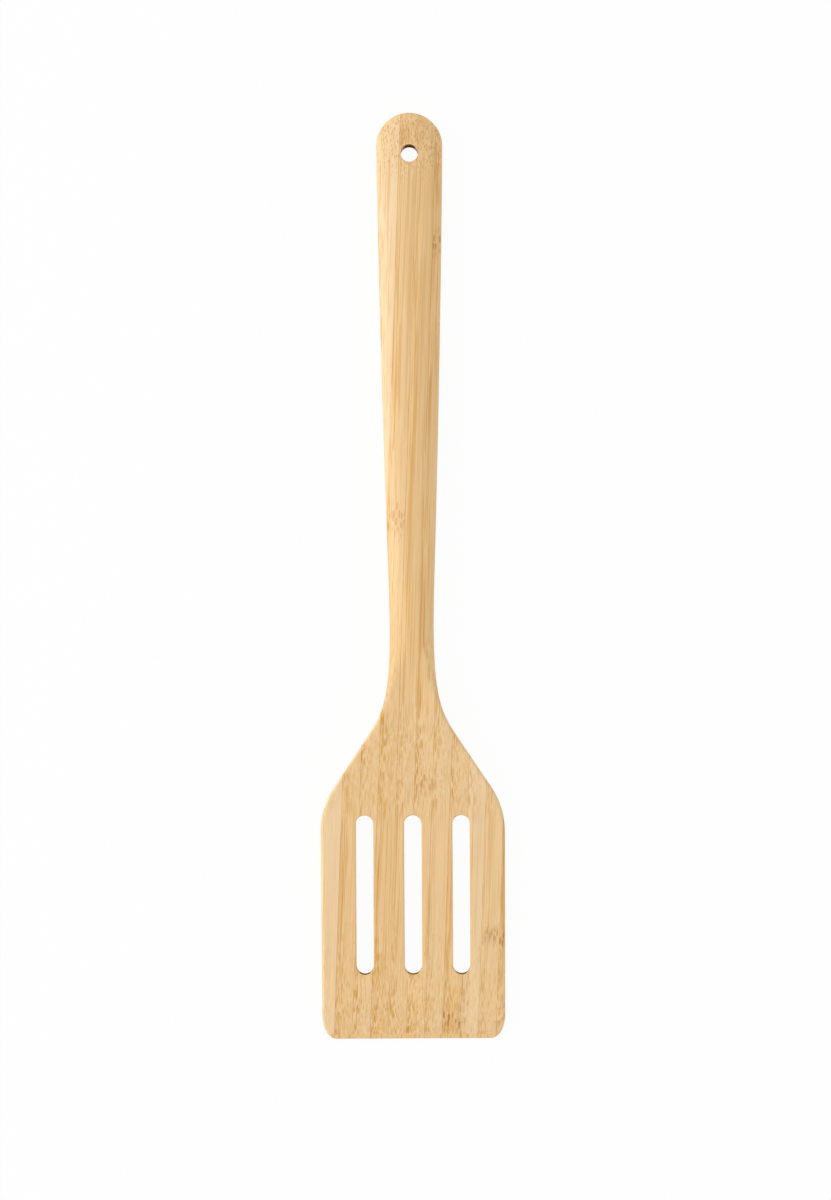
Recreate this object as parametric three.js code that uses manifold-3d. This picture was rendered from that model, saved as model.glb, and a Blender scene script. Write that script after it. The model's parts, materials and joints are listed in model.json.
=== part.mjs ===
import * as THREE from "three";
import { mergeVertices } from "three/addons/utils/BufferGeometryUtils.js";
import loadManifold from "manifold-3d";

// A slotted spatula shaped from a board of edge-glued bamboo laths. All sizes are in millimetres.
// X runs across the blade, Y along the spatula towards the handle's end, Z up from the flat back.
// Lengths along the spatula are measured from its front edge. The last group moves the middle of the
// length to the origin.

// Outline, as seen from the front
const overallLength = 320;
const bladeWidth = 63.7;
const frontNarrowing = 0.4;
const frontCornerWidth = 4.8;
const frontCornerLength = 8.4;
const bladeSideLength = 72;
const shoulderRadius = 26.8;
const shoulderAngle = THREE.MathUtils.degToRad(33.7);
const flareEndWidth = 32.4;
const flareLead = 12.6;
const neckLength = 58;
const neckWidth = 16;
const neckLead = 43;
const handleEndWidth = 22.9;
const handleBow = 0.37;

// Thickness, as seen from the side
const frontEdgeThickness = 1.5;
const bevelLength = 1.7;
const bevelThickness = 2.8;
const bladeThickness = 5.5;
const frontTaperLength = 31;
const handleThickness = 10;
const handleRiseRunOut = 17;
const handleEndThickness = 8;
const handleEndTaperLength = 28;

// Rounding of the section
const edgeRounding = 1;
const ovalRunIn = 10;
const ovalLength = 27;
const crownFlat = 1;
const waistWall = 0.4;
const endRoundness = 0.6;

// Slots in the blade and the hole to hang the spatula by
const slotCount = 3;
const slotWidth = 6;
const slotLength = 55;
const slotPitch = 16.7;
const slotSetback = 22.5;
const holeDiameter = 6;
const holeSetback = 14.35;

// Laths of the board, which drift to the right along the spatula. The centre laths make the handle.
// The others fill the blade on both sides of them, and its edges trim the last one of each side.
const grainDrift = 12.23;
const lathPitch = 6.22;
const centreLathCount = 4;
const centreLathsOffset = -21.38;
const leftLathCount = 1.65;
const rightLathCount = 4.53;
const glueGap = 0.16;
const glueClearance = 0.01;
const leastPieceVolume = 5;

// Fineness of the faceted surface
const stationSpacing = 12;
const curveSteps = 7;
const cornerSteps = 4;
const holeSteps = 28;
const halvingSteps = 40;
const leastStationGap = 0.4;
const endSweep = THREE.MathUtils.degToRad(84);
const cutterMargin = 20;
const weldTolerance = 1e-4;

const bambooTones = {
  pale: 0xebcb9e,
  straw: 0xe6c18d,
  honey: 0xe2bb84,
};
const lathTones = [
  "pale", "honey", "straw", "honey", "straw", "straw", "straw", "honey", "pale", "straw", "honey",
];
const glueColour = 0xcda064;
const bambooRoughness = 0.55;
const glueRoughness = 0.4;

const wasm = await loadManifold();
wasm.setup();

const { clamp, lerp, smoothstep } = THREE.MathUtils;

// The right half of the outline, from the front edge to the handle's end, as curves with rising Y.
function outlineCurves() {
  const bladeHalf = bladeWidth / 2;
  const frontHalf = (bladeWidth - frontNarrowing) / 2;
  const endRadius = handleEndWidth / 2;
  const cornerTop = new THREE.Vector2(frontHalf, frontCornerLength);
  const shoulderStart = new THREE.Vector2(bladeHalf, bladeSideLength);
  const shoulderEnd = new THREE.Vector2(
    bladeHalf - shoulderRadius * (1 - Math.cos(shoulderAngle)),
    bladeSideLength + shoulderRadius * Math.sin(shoulderAngle),
  );
  const flare = new THREE.Vector2(-Math.sin(shoulderAngle), Math.cos(shoulderAngle));
  const flareRun = (shoulderEnd.x - flareEndWidth / 2) / Math.sin(shoulderAngle);
  const flareEnd = shoulderEnd.clone().addScaledVector(flare, flareRun);
  const neckEnd = new THREE.Vector2(neckWidth / 2, flareEnd.y + neckLength);
  const endCentre = new THREE.Vector2(0, overallLength - endRadius * Math.sin(endSweep));
  const handleSide = new THREE.Vector2(endRadius, endCentre.y);
  const bowedSide = neckEnd.clone().lerp(handleSide, 0.5);
  bowedSide.x += 2 * handleBow;
  const taper = bowedSide.clone().sub(neckEnd).normalize();

  return {
    frontHalf,
    flareEnd,
    endCentre,
    curves: [
      new THREE.EllipseCurve(frontHalf - frontCornerWidth, frontCornerLength,
        frontCornerWidth, frontCornerLength, -Math.PI / 2, 0),
      new THREE.LineCurve(cornerTop, shoulderStart),
      new THREE.EllipseCurve(bladeHalf - shoulderRadius, bladeSideLength,
        shoulderRadius, shoulderRadius, 0, shoulderAngle),
      new THREE.LineCurve(shoulderEnd, flareEnd),
      new THREE.CubicBezierCurve(
        flareEnd,
        flareEnd.clone().addScaledVector(flare, flareLead),
        neckEnd.clone().addScaledVector(taper, -neckLead),
        neckEnd,
      ),
      new THREE.QuadraticBezierCurve(neckEnd, bowedSide, handleSide),
      new THREE.EllipseCurve(0, endCentre.y, endRadius, endRadius, 0, endSweep),
    ],
  };
}

const outline = outlineCurves();

// Half the width at a length y: the point of the outline at that height, found by halving the curve.
function halfWidthAt(y) {
  const curve = outline.curves.find((piece) => y <= piece.getPoint(1).y) ?? outline.curves.at(-1);
  let low = 0;
  let high = 1;
  for (let step = 0; step < halvingSteps; step += 1) {
    const middle = (low + high) / 2;
    if (curve.getPoint(middle).y < y) {
      low = middle;
    } else {
      high = middle;
    }
  }
  return curve.getPoint((low + high) / 2).x;
}

// Heights of the back and the front face on the centre line at a length y. The front rises over a bevel
// and a taper to the blade, then through the shoulder to the handle, whose end thins on both faces.
function facesAt(y) {
  const bevel = clamp(y / bevelLength, 0, 1);
  const taper = clamp((y - bevelLength) / (frontTaperLength - bevelLength), 0, 1);
  const rise = smoothstep(y, bladeSideLength, outline.flareEnd.y + handleRiseRunOut);
  const front = lerp(frontEdgeThickness, bevelThickness, bevel)
    + (bladeThickness - bevelThickness) * taper * (2 - taper)
    + (handleThickness - bladeThickness) * rise;

  const thinning = clamp((y - overallLength + handleEndTaperLength) / handleEndTaperLength, 0, 1);
  const inEnd = y > outline.endCentre.y;
  const endShare = inEnd ? Math.pow(halfWidthAt(y) / (handleEndWidth / 2), endRoundness) : 1;
  const thickness = (front - (handleThickness - handleEndThickness) * thinning * thinning) * endShare;
  return { back: (front - thickness) / 2, front: (front + thickness) / 2 };
}

// A closed section at a length y: four quarter ellipses joined by flats. On the blade they are small
// edge roundings; on the handle they meet in an oval with a narrow flat on its crown. Each quarter starts
// at a number of half turns.
function sectionAt(y) {
  const half = halfWidthAt(y);
  const { back, front } = facesAt(y);
  const ovalStart = outline.flareEnd.y + ovalRunIn;
  const oval = smoothstep(y, ovalStart, ovalStart + ovalLength);
  const fullHeight = (front - back - waistWall) / 2;
  const across = lerp(edgeRounding, half - crownFlat / 2, oval);
  const up = Math.min(lerp(edgeRounding, fullHeight, oval), fullHeight);
  const corners = [
    { x: half - across, z: front - up, from: 0 },
    { x: across - half, z: front - up, from: 0.5 },
    { x: across - half, z: back + up, from: 1 },
    { x: half - across, z: back + up, from: 1.5 },
  ];
  const ring = [];
  for (const corner of corners) {
    for (let step = 0; step <= cornerSteps; step += 1) {
      const angle = Math.PI * (corner.from + 0.5 * step / cornerSteps);
      ring.push(new THREE.Vector3(
        corner.x + across * Math.cos(angle),
        y,
        corner.z + up * Math.sin(angle),
      ));
    }
  }
  return ring;
}

// The lengths at which the body has a section: points along every curve of the outline and the end of
// the front bevel.
function stations() {
  const lengths = [bevelLength, frontTaperLength];
  for (const curve of outline.curves) {
    const steps = Math.max(curveSteps, Math.ceil(curve.getLength() / stationSpacing));
    for (let step = 0; step <= steps; step += 1) {
      lengths.push(curve.getPoint(step / steps).y);
    }
  }
  lengths.sort((a, b) => a - b);
  const kept = [lengths[0]];
  for (const y of lengths) {
    if (y - kept.at(-1) > leastStationGap && (overallLength - y > leastStationGap)) {
      kept.push(y);
    }
  }
  kept.push(lengths.at(-1));
  return kept;
}

// The shaped body without its cuts: sections joined in rings, closed by a flat front edge and end.
function bodyGeometry() {
  const rings = stations().map(sectionAt);
  const count = rings[0].length;
  const positions = rings.flat().flatMap((point) => point.toArray());
  const index = [];
  for (let row = 0; row + 1 < rings.length; row += 1) {
    for (let i = 0; i < count; i += 1) {
      const a = row * count + i;
      const b = row * count + (i + 1) % count;
      index.push(a, a + count, b, b, a + count, b + count);
    }
  }
  const last = (rings.length - 1) * count;
  for (let i = 1; i + 1 < count; i += 1) {
    index.push(0, i, i + 1);
    index.push(last, last + i + 1, last + i);
  }
  const geometry = new THREE.BufferGeometry();
  geometry.setAttribute("position", new THREE.Float32BufferAttribute(positions, 3));
  geometry.setIndex(index);
  return geometry;
}

// A cutter through the whole thickness with the given outline.
function throughCut(shape, steps) {
  const depth = handleThickness + 2 * cutterMargin;
  const geometry = new THREE.ExtrudeGeometry(shape, { depth, bevelEnabled: false, curveSegments: steps });
  return geometry.translate(0, 0, -cutterMargin);
}

function slotShape(x) {
  const radius = slotWidth / 2;
  const low = slotSetback + radius;
  const high = slotSetback + slotLength - radius;
  const shape = new THREE.Shape();
  shape.absarc(x, low, radius, Math.PI, 2 * Math.PI);
  shape.absarc(x, high, radius, 0, Math.PI);
  shape.closePath();
  return shape;
}

function holeShape() {
  const shape = new THREE.Shape();
  shape.absarc(0, overallLength - holeSetback, holeDiameter / 2, 0, 2 * Math.PI);
  return shape;
}

// A strip of the board between two lines along the grain, given by where they cross the front edge.
function stripShape(left, right) {
  const slope = grainDrift / overallLength;
  const low = -cutterMargin;
  const high = overallLength + cutterMargin;
  const shape = new THREE.Shape();
  shape.moveTo(left + slope * low, low);
  shape.lineTo(right + slope * low, low);
  shape.lineTo(right + slope * high, high);
  shape.lineTo(left + slope * high, high);
  shape.closePath();
  return shape;
}

function solidFrom(geometry) {
  const bare = geometry.clone();
  bare.deleteAttribute("normal");
  bare.deleteAttribute("uv");
  const welded = mergeVertices(bare, weldTolerance);
  return new wasm.Manifold(new wasm.Mesh({
    numProp: 3,
    vertProperties: new Float32Array(welded.attributes.position.array),
    triVerts: new Uint32Array(welded.index.array),
  }));
}

// The shaped body with its slots and its hole.
function cutBody() {
  let body = solidFrom(bodyGeometry());
  for (let i = 0; i < slotCount; i += 1) {
    const x = (i - (slotCount - 1) / 2) * slotPitch;
    body = body.subtract(solidFrom(throughCut(slotShape(x), curveSteps)));
  }
  return body.subtract(solidFrom(throughCut(holeShape(), holeSteps)));
}

function volumeOf(geometry) {
  const position = geometry.attributes.position;
  const corners = [new THREE.Vector3(), new THREE.Vector3(), new THREE.Vector3()];
  let volume = 0;
  for (let i = 0; i < geometry.index.count; i += 3) {
    corners.forEach((corner, j) => corner.fromBufferAttribute(position, geometry.index.getX(i + j)));
    volume += corners[0].dot(corners[1].cross(corners[2])) / 6;
  }
  return volume;
}

// The separate bodies of a cut strip, in order from the front edge. Triangles that share a corner belong
// to one body. Crumbs too small to survive sanding are left out.
function bodiesOf(solid) {
  const { vertProperties, triVerts } = solid.getMesh();
  const parent = Array.from({ length: vertProperties.length / 3 }, (_, i) => i);
  const rootOf = (start) => {
    let node = start;
    while (parent[node] !== node) {
      parent[node] = parent[parent[node]];
      node = parent[node];
    }
    return node;
  };
  for (let i = 0; i < triVerts.length; i += 3) {
    parent[rootOf(triVerts[i])] = rootOf(triVerts[i + 1]);
    parent[rootOf(triVerts[i + 1])] = rootOf(triVerts[i + 2]);
  }

  const triangles = new Map();
  for (let i = 0; i < triVerts.length; i += 3) {
    const root = rootOf(triVerts[i]);
    triangles.set(root, [...(triangles.get(root) ?? []), ...triVerts.slice(i, i + 3)]);
  }
  const bodies = [...triangles.values()].map((corners) => {
    const used = [...new Set(corners)];
    const place = new Map(used.map((vertex, i) => [vertex, i]));
    const positions = used.flatMap((vertex) => [...vertProperties.slice(3 * vertex, 3 * vertex + 3)]);
    const geometry = new THREE.BufferGeometry();
    geometry.setAttribute("position", new THREE.Float32BufferAttribute(positions, 3));
    geometry.setIndex(corners.map((vertex) => place.get(vertex)));
    geometry.computeBoundingBox();
    return geometry;
  });
  return bodies
    .filter((geometry) => volumeOf(geometry) > leastPieceVolume)
    .sort((a, b) => a.boundingBox.min.y - b.boundingBox.min.y);
}

// What to call a body of a strip by where it lies: the one from the front edge has the plain name.
function placeSuffix({ min, max }) {
  if (min.y < slotSetback) {
    return "";
  }
  if (max.y < outline.flareEnd.y + neckLength) {
    return "_shoulder";
  }
  return min.y > overallLength - holeSetback ? "_end" : "_handle";
}

function stripMeshes(body, name, left, right, material) {
  const strip = body.intersect(solidFrom(throughCut(stripShape(left, right), curveSteps)));
  const taken = new Map();
  return bodiesOf(strip).map((geometry) => {
    const mesh = new THREE.Mesh(geometry, material);
    const placed = name + placeSuffix(geometry.boundingBox);
    const copies = taken.get(placed) ?? 0;
    taken.set(placed, copies + 1);
    mesh.name = copies ? `${placed}_${copies + 1}` : placed;
    return mesh;
  });
}

function bambooMaterial(tone) {
  return new THREE.MeshStandardMaterial({
    color: bambooTones[tone],
    roughness: bambooRoughness,
    metalness: 0,
    flatShading: true,
  });
}

// Where the glue joints cross the front edge, from left to right.
function jointOffsets() {
  const centreEnd = centreLathsOffset + centreLathCount * lathPitch;
  const leftPitch = (outline.frontHalf + centreLathsOffset) / leftLathCount;
  const rightPitch = (outline.frontHalf - centreEnd) / rightLathCount;
  const row = (from, pitch, count) => Array.from({ length: count }, (_, i) => from + i * pitch);
  return [
    ...row(centreLathsOffset - leftPitch, -leftPitch, Math.floor(leftLathCount)).reverse(),
    ...row(centreLathsOffset, lathPitch, centreLathCount),
    ...row(centreEnd, rightPitch, Math.floor(rightLathCount) + 1),
  ];
}

function buildSpatula() {
  const body = cutBody();
  const glue = new THREE.MeshStandardMaterial({
    color: glueColour,
    roughness: glueRoughness,
    metalness: 0,
    flatShading: true,
  });
  const spatula = new THREE.Group();
  const joints = jointOffsets();
  const outside = bladeWidth;
  const edges = [-outside, ...joints, outside];
  const twoDigits = (number) => String(number).padStart(2, "0");

  for (let i = 0; i + 1 < edges.length; i += 1) {
    const left = edges[i] + glueGap / 2;
    const right = edges[i + 1] - glueGap / 2;
    const material = bambooMaterial(lathTones[i % lathTones.length]);
    spatula.add(...stripMeshes(body, `lath_${twoDigits(i + 1)}`, left, right, material));
  }
  const filmHalf = glueGap / 2 - glueClearance;
  joints.forEach((x, i) => {
    spatula.add(...stripMeshes(body, `glue_line_${twoDigits(i + 1)}`, x - filmHalf, x + filmHalf, glue));
  });
  spatula.position.y = -overallLength / 2;
  return spatula;
}

const spatula = buildSpatula();
export default spatula;
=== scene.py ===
"""A slotted spatula of edge-glued bamboo laths, seen from straight above on a white table.

Each lath and each film of glue is a surface worked out with numpy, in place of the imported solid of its
name. Sizes are in millimetres. Lengths t run along the spatula from its front edge, x runs across it and z
up from its flat back. A mesh is written in metres, with the middle of the length at the origin.
"""

import json
import math

import bpy
import numpy as np
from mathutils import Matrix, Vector


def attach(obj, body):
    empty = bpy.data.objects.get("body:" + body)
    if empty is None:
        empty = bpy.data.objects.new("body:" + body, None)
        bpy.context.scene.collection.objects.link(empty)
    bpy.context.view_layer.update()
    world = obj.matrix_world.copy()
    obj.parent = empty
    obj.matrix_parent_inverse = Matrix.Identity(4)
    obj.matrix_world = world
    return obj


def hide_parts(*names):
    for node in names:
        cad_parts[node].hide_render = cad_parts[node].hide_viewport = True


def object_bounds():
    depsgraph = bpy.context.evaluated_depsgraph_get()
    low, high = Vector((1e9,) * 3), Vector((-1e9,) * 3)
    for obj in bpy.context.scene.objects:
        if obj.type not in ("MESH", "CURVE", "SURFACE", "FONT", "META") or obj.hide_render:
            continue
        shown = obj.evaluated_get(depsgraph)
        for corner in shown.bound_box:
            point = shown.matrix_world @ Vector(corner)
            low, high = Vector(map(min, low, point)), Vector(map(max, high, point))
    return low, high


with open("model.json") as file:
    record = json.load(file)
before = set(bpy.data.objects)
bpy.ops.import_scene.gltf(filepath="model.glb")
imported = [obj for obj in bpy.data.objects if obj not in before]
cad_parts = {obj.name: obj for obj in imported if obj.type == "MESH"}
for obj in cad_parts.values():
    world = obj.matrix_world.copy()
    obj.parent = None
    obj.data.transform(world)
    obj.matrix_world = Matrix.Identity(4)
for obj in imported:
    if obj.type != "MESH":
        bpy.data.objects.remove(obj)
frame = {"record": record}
cad_low, cad_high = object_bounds()

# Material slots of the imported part: the slot of each node, and the colour of each slot
SLOT_OF_NODE = {part["node"]: part["material_slot"] for part in frame["record"]["subparts"]}
SLOT_COLOUR = {slot["slot"]: (*slot["base_color"], 1) for slot in frame["record"]["materials"]}

# Overall sizes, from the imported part, and the millimetres in a metre
MM = 1000.0
LENGTH = (cad_high.y - cad_low.y) * MM
BLADE_WIDTH = (cad_high.x - cad_low.x) * MM
HANDLE_THICKNESS = (cad_high.z - cad_low.z) * MM

# Outline
FRONT_NARROWING = 0.4
FRONT_HALF = (BLADE_WIDTH - FRONT_NARROWING) / 2
FRONT_CORNER = (4.8, 8.4)  # radius across and radius along
BLADE_SIDE_LENGTH = 72.0
SHOULDER_RADIUS = 26.8
SHOULDER_ANGLE = math.radians(33.7)
FLARE_END_WIDTH = 32.4
FLARE_LEAD = 12.6  # from the flare's end to the control point of the neck's curve
NECK_LENGTH = 58.0
NECK_WIDTH = 16.0
NECK_LEAD = 43.0  # from the neck's end to the curve's other control point
HANDLE_END_WIDTH = 22.9
END_RADIUS = HANDLE_END_WIDTH / 2
END_CENTRE = LENGTH - END_RADIUS
HANDLE_BOW = 0.37  # how far the handle's sides bow out

# Thickness
FRONT_EDGE_THICKNESS = 1.5
BEVEL_LENGTH = 1.7
BEVEL_THICKNESS = 2.8
BLADE_THICKNESS = 5.5
FRONT_TAPER_LENGTH = 31.0
HANDLE_RISE_RUN_OUT = 17.0
HANDLE_END_THICKNESS = 8.0
HANDLE_END_TAPER = 28.0

# Rounding
EDGE_ROUNDING = 1.0
FRONT_EDGE_ROUNDING = 0.3
RIM_ROUNDING = 0.3  # of the slots and the hole
OVAL_RUN_IN = 10.0  # from the flare's end to where the edges start to grow into the handle's oval
OVAL_LENGTH = 27.0  # over which they grow
CROWN_FLAT = 1.0  # flat left on the oval's crown
WAIST_WALL = 0.4  # upright wall left at its waist
END_ROUNDNESS = 0.6  # power of the width with which the thickness of the round end falls

# Slots and hanging hole
CUT_WIDTH = 6.0
CUT_RADIUS = CUT_WIDTH / 2
SLOT_PITCH = 16.7
SLOT_SETBACK = 22.5
SLOT_LENGTH = 55.0
HOLE_SETBACK = 14.35
HOLE_T = LENGTH - HOLE_SETBACK
SLOT_LOW = SLOT_SETBACK + CUT_RADIUS
SLOT_HIGH = SLOT_SETBACK + SLOT_LENGTH - CUT_RADIUS
# Each cut is a round cutter's run: x of its centre line, and the first and last t of the cutter's axis
SLOTS = [(i * SLOT_PITCH, SLOT_LOW, SLOT_HIGH) for i in (-1, 0, 1)]
HOLE = (0.0, HOLE_T, HOLE_T)
CUTS = [*SLOTS, HOLE]

# Laths, which drift to the right along the spatula
GRAIN_DRIFT = 12.23
DRIFT = GRAIN_DRIFT / LENGTH
LATH_PITCH = 6.22
CENTRE_LATHS = 4
CENTRE_START = -21.38  # x of the joint left of the centre laths at the front edge
LEFT_LATHS = 1.65  # how many laths fit on the left of them
RIGHT_LATHS = 4.53  # and on the right
GLUE_GAP = 0.16
LEAST_PIECE_VOLUME = 5.0

# Fineness of the meshes: points on a curve of the outline, rows along the spatula, steps across a strip
CURVE_POINTS = 200
ROW_SPACING = 1.0
ROW_CLEARANCE = ROW_SPACING / 5
CORNER_ROWS = 13
FRONT_EDGE_ROWS = 5
END_ROWS = 25
RIM_ROWS = RIM_ROUNDING * np.array([0.15, 0.4, 0.7, 1.0])
CREASE_ROWS = np.array([-0.1, 0.0, 0.1])
SEARCH_POINTS = 12801
LATH_STEPS = 12
FILM_STEPS = 1
SNAP = 0.002
ROW_DIGITS = 6
WELD_DIGITS = 5
SHARP_ANGLE = math.radians(40)


def smoothstep(value, low, high):
    """The cubic that rises from 0 at low to 1 at high with level ends."""
    share = np.clip((value - low) / (high - low), 0, 1)
    return share * share * (3 - 2 * share)


def arc(centre, radii, start, end):
    """Points centre + radii * (cos a, sin a) for even angles a from start to end."""
    angle = np.linspace(start, end, CURVE_POINTS)
    return np.stack([centre[0] + radii[0] * np.cos(angle), centre[1] + radii[1] * np.sin(angle)], axis=1)


def bezier(points):
    """Points of the Bezier curve: the sum of the control points times their Bernstein weights."""
    share = np.linspace(0, 1, CURVE_POINTS)[:, None]
    degree = len(points) - 1
    weights = [math.comb(degree, i) * share**i * (1 - share)**(degree - i) for i in range(degree + 1)]
    return sum(weight * np.asarray(point) for weight, point in zip(weights, points))


def right_outline():
    """Right half of the outline as points (x, t): an elliptic front corner, the blade's side, the shoulder
    arc, the straight flare, a cubic Bezier neck, the quadratic Bezier side of the handle and its round end.
    Also the t at which the flare ends."""
    flare = np.array([-math.sin(SHOULDER_ANGLE), math.cos(SHOULDER_ANGLE)])
    shoulder_centre = (BLADE_WIDTH / 2 - SHOULDER_RADIUS, BLADE_SIDE_LENGTH)
    shoulder = arc(shoulder_centre, (SHOULDER_RADIUS,) * 2, 0, SHOULDER_ANGLE)
    flare_end = shoulder[-1] + flare * (shoulder[-1, 0] - FLARE_END_WIDTH / 2) / math.sin(SHOULDER_ANGLE)
    neck_end = np.array([NECK_WIDTH / 2, flare_end[1] + NECK_LENGTH])
    handle_side = np.array([END_RADIUS, END_CENTRE])
    # The curve reaches half as far out as its middle control point
    bowed = (neck_end + handle_side) / 2 + (2 * HANDLE_BOW, 0)
    taper = (bowed - neck_end) / np.linalg.norm(bowed - neck_end)
    corner_centre = (FRONT_HALF - FRONT_CORNER[0], FRONT_CORNER[1])
    curves = [
        arc(corner_centre, FRONT_CORNER, -math.pi / 2, 0),
        shoulder,
        bezier([flare_end, flare_end + flare * FLARE_LEAD, neck_end - taper * NECK_LEAD, neck_end]),
        bezier([neck_end, bowed, handle_side]),
        arc((0, END_CENTRE), (END_RADIUS,) * 2, 0, math.pi / 2),
    ]
    return np.concatenate(curves), flare_end[1]


OUTLINE, FLARE_END = right_outline()


def half_width(t):
    """Half the width at t, read between the close points of the outline."""
    return np.interp(t, OUTLINE[:, 1], OUTLINE[:, 0])


def faces(t):
    """Heights of the back and the front on the centre line: the front climbs a straight bevel, a parabola
    to the blade and a smooth step to the handle, and the handle's end thins evenly on both faces."""
    bevel = np.clip(t / BEVEL_LENGTH, 0, 1)
    taper = np.clip((t - BEVEL_LENGTH) / (FRONT_TAPER_LENGTH - BEVEL_LENGTH), 0, 1)
    rise = smoothstep(t, BLADE_SIDE_LENGTH, FLARE_END + HANDLE_RISE_RUN_OUT)
    front = (FRONT_EDGE_THICKNESS + (BEVEL_THICKNESS - FRONT_EDGE_THICKNESS) * bevel
             + (BLADE_THICKNESS - BEVEL_THICKNESS) * taper * (2 - taper)
             + (HANDLE_THICKNESS - BLADE_THICKNESS) * rise)
    thinning = np.clip((t - LENGTH + HANDLE_END_TAPER) / HANDLE_END_TAPER, 0, 1)
    end_share = np.where(t > END_CENTRE, (half_width(t) / END_RADIUS) ** END_ROUNDNESS, 1)
    thickness = (front - (HANDLE_THICKNESS - HANDLE_END_THICKNESS) * thinning**2) * end_share
    return (front - thickness) / 2, (front + thickness) / 2


def quarter_round(distance, radius):
    """How far a quarter round of that radius drops at a distance from the edge that it rounds."""
    share = np.clip(1 - distance / radius, 0, 1)
    return radius * (1 - np.sqrt(1 - share * share))


def cut_distance(x, t):
    """Distance to the nearest wall of a slot or the hole: to the cutter's run, less its radius."""
    gaps = [np.hypot(x - cx, t - np.clip(t, low, high)) for cx, low, high in CUTS]
    return np.min(gaps, axis=0) - CUT_RADIUS


def surfaces(x, t):
    """Heights of the back and the front at (x, t): the faces on the centre line, bent together towards the
    outline as quarter ellipses, small on the blade and grown to an oval on the handle, with rounded rims on
    the cuts."""
    half = half_width(t)
    back, front = faces(t)
    oval = smoothstep(t, FLARE_END + OVAL_RUN_IN, FLARE_END + OVAL_RUN_IN + OVAL_LENGTH)
    full = np.maximum((front - back - WAIST_WALL) / 2, 0)
    across = np.maximum(EDGE_ROUNDING + (half - CROWN_FLAT / 2 - EDGE_ROUNDING) * oval, SNAP)
    up = np.minimum(EDGE_ROUNDING + (full - EDGE_ROUNDING) * oval, full)
    share = np.clip((np.abs(x) - half + across) / across, 0, 1)
    drop = up * (1 - np.sqrt(1 - share * share))
    drop = np.maximum(drop, quarter_round(cut_distance(x, t), RIM_ROUNDING))
    drop = np.maximum(drop, quarter_round(t, FRONT_EDGE_ROUNDING))
    drop = np.minimum(drop, (front - back) / 2)
    return back + drop, front - drop


def joint_offsets():
    """Where the glue joints cross the front edge: even steps beside the centre laths, out to both edges."""
    centre_end = CENTRE_START + CENTRE_LATHS * LATH_PITCH
    left_pitch = (FRONT_HALF + CENTRE_START) / LEFT_LATHS
    right_pitch = (FRONT_HALF - centre_end) / RIGHT_LATHS
    return np.concatenate([
        CENTRE_START - left_pitch * np.arange(int(LEFT_LATHS), 0, -1),
        CENTRE_START + LATH_PITCH * np.arange(CENTRE_LATHS),
        centre_end + right_pitch * np.arange(int(RIGHT_LATHS) + 1),
    ])


JOINTS = joint_offsets()
JOINT_SIDES = np.concatenate([JOINTS - GLUE_GAP / 2, JOINTS + GLUE_GAP / 2])


def half_chord(t, low, high):
    """Half the width of a cut at t: the cutter's circle beyond the ends of its run."""
    return np.sqrt(np.clip(CUT_RADIUS**2 - (t - np.clip(t, low, high)) ** 2, 0, None))


def crossings(t, values):
    """The t at which each row of values changes sign, read between the two samples beside it."""
    row, i = np.nonzero(np.sign(values[:, :-1]) * np.sign(values[:, 1:]) < 0)
    before, after = values[row, i], values[row, i + 1]
    return t[i] + (t[i + 1] - t[i]) * before / (before - after)


def mesh_rows():
    """All t at which the meshes have a row of points: an even ladder, closer rows by angle round every
    corner and cut, and a row wherever a joint crosses the outline or the wall of a cut. The slots end side
    by side, so the first one gives the rows of all."""
    turn = 1 - np.cos(np.linspace(0, math.pi / 2, CORNER_ROWS))
    edge_turn = 1 - np.cos(np.linspace(0, math.pi / 2, FRONT_EDGE_ROWS))
    end_turn = np.sin(np.linspace(0, math.pi / 2, END_ROWS))
    keys = [
        FRONT_CORNER[1] * turn,
        FRONT_EDGE_ROUNDING * edge_turn,
        BEVEL_LENGTH + CREASE_ROWS,
        END_CENTRE + END_RADIUS * end_turn,
    ]
    dense = np.linspace(0, LENGTH, SEARCH_POINTS)
    lines = JOINT_SIDES[:, None] + DRIFT * dense
    keys += [crossings(dense, lines - side * half_width(dense)) for side in (-1, 1)]
    for _, low, high in (SLOTS[0], HOLE):
        keys += [low - CUT_RADIUS * (1 - turn), high + CUT_RADIUS * (1 - turn)]
        keys += [low - CUT_RADIUS - RIM_ROWS, high + CUT_RADIUS + RIM_ROWS]
    for cx, low, high in CUTS:
        inside = (dense >= low - CUT_RADIUS) & (dense <= high + CUT_RADIUS)
        chord = half_chord(dense[inside], low, high)
        keys += [crossings(dense[inside], lines[:, inside] - cx - side * chord) for side in (-1, 1)]
    keys = np.unique(np.round(np.concatenate(keys), ROW_DIGITS))
    ladder = np.arange(0, LENGTH, ROW_SPACING)
    clear = np.abs(ladder[:, None] - keys).min(axis=1) > ROW_CLEARANCE
    return np.sort(np.concatenate([keys, ladder[clear]]))


ROWS = mesh_rows()


def snapped(values, targets):
    """Values that lie closer than a hair to their target take its place."""
    return np.where(np.abs(values - targets) < SNAP, targets, values)


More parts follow.
